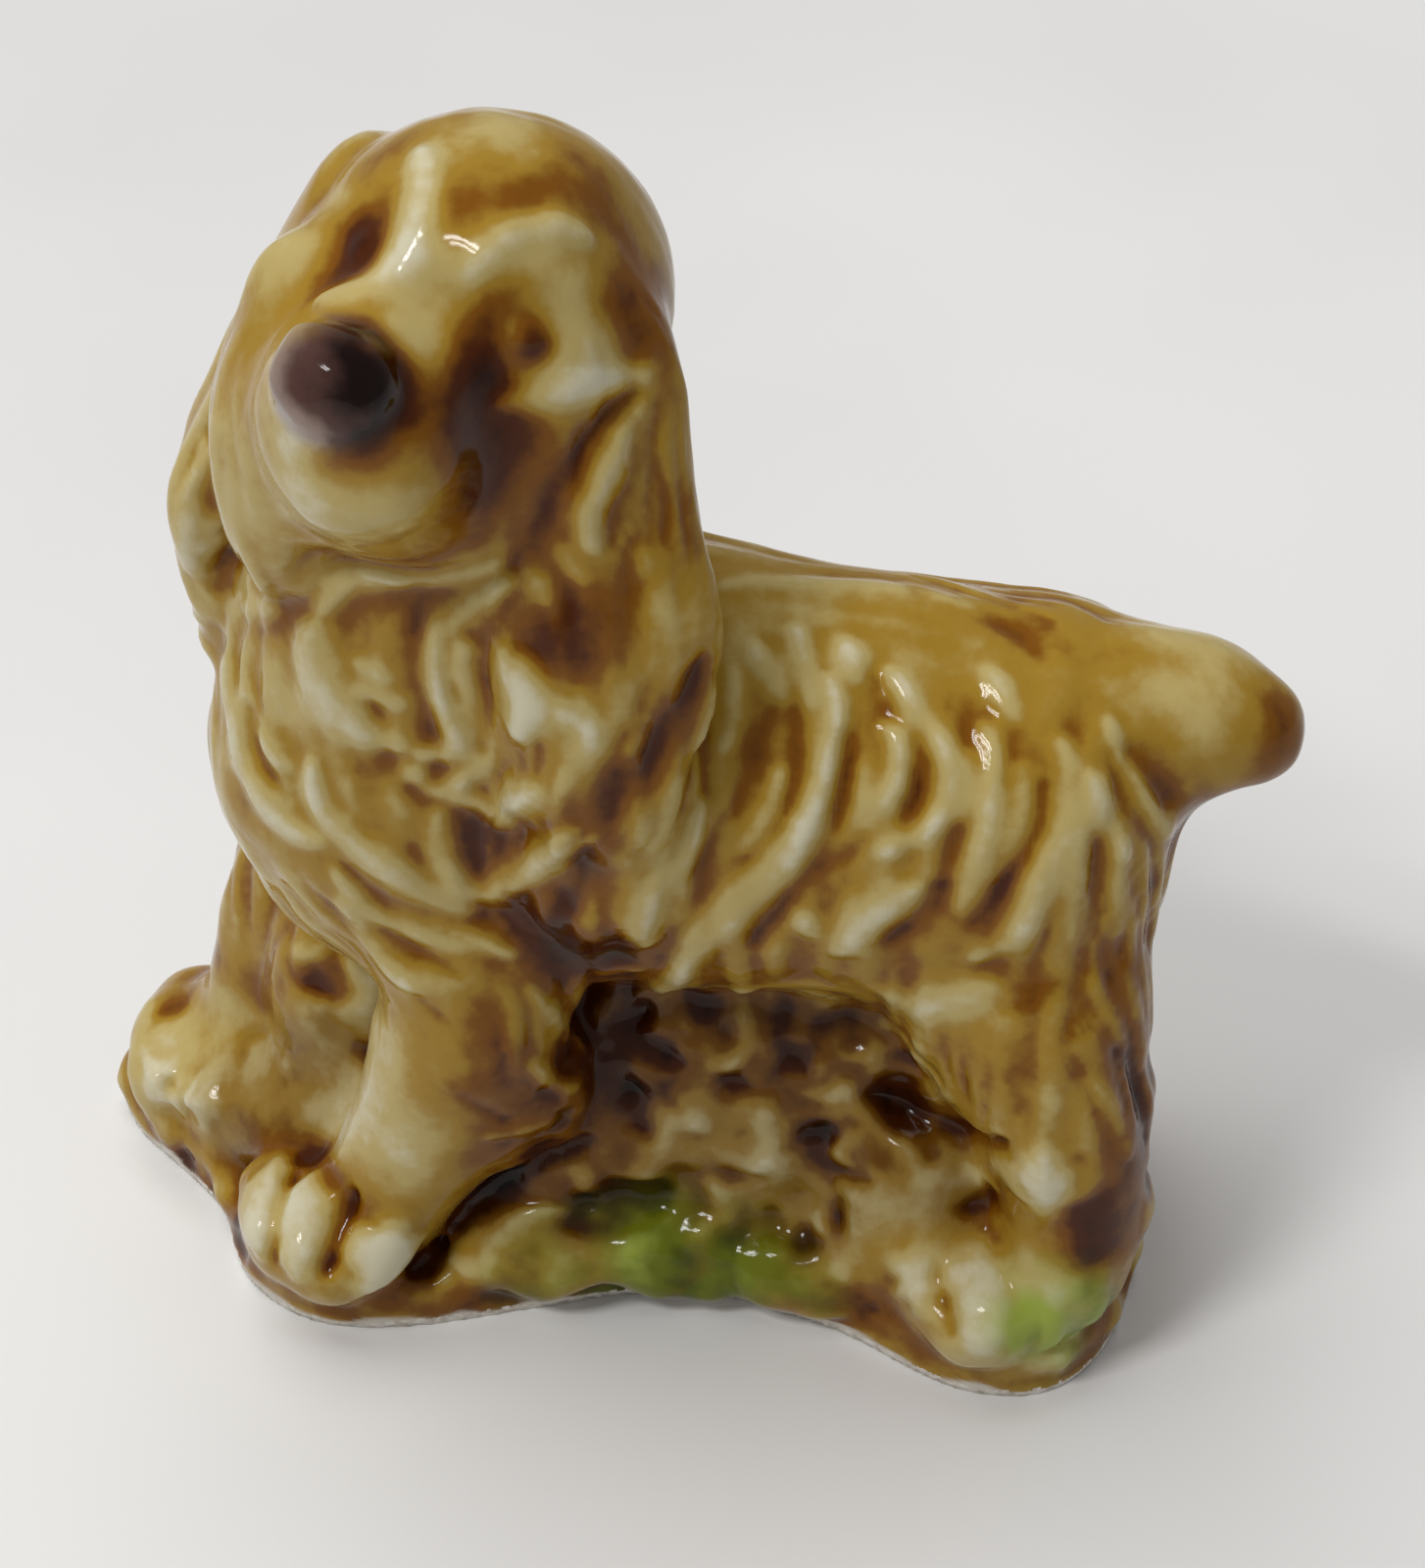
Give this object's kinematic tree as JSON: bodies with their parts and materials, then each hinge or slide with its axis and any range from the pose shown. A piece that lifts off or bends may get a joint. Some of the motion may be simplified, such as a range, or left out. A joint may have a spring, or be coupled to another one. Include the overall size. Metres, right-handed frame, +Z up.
{
  "type": "miniature glazed ceramic dog figurine",
  "caption": "Small pressed and glazed porcelain spaniel standing on a rough ground base, head turned to its left, docked tail out behind",
  "frame": {"origin": "on the resting face under the base, below the middle of the body", "axes": "+X is the dog's left, where the face looks; +Y runs from the chest to the tail; +Z is up"},
  "size_m": [0.0171, 0.0374, 0.0407],
  "materials": {
    "coat_glaze": "clear honey-brown glaze over cream porcelain, pooled dark in the hair grooves, high gloss",
    "paw_glaze": "cream to honey glaze, high gloss",
    "ground_glaze": "honey-brown glaze, wiped off to pale bisque along the foot",
    "moss_glaze": "mottled grey-cream and dark brown glaze with moss-green patches, high gloss",
    "nose_glaze": "dark brown glaze, high gloss"
  },
  "bodies": {
    "root": {"base": "ground_glaze", "undergrowth": "moss_glaze", "torso": "coat_glaze", "ruff": "coat_glaze", "head": "coat_glaze", "nose": "nose_glaze", "left_ear": "coat_glaze", "right_ear": "coat_glaze", "left_foreleg": "paw_glaze", "right_foreleg": "paw_glaze", "left_hindleg": "paw_glaze", "right_hindleg": "paw_glaze", "tail": "coat_glaze"}
  },
  "joints": []
}
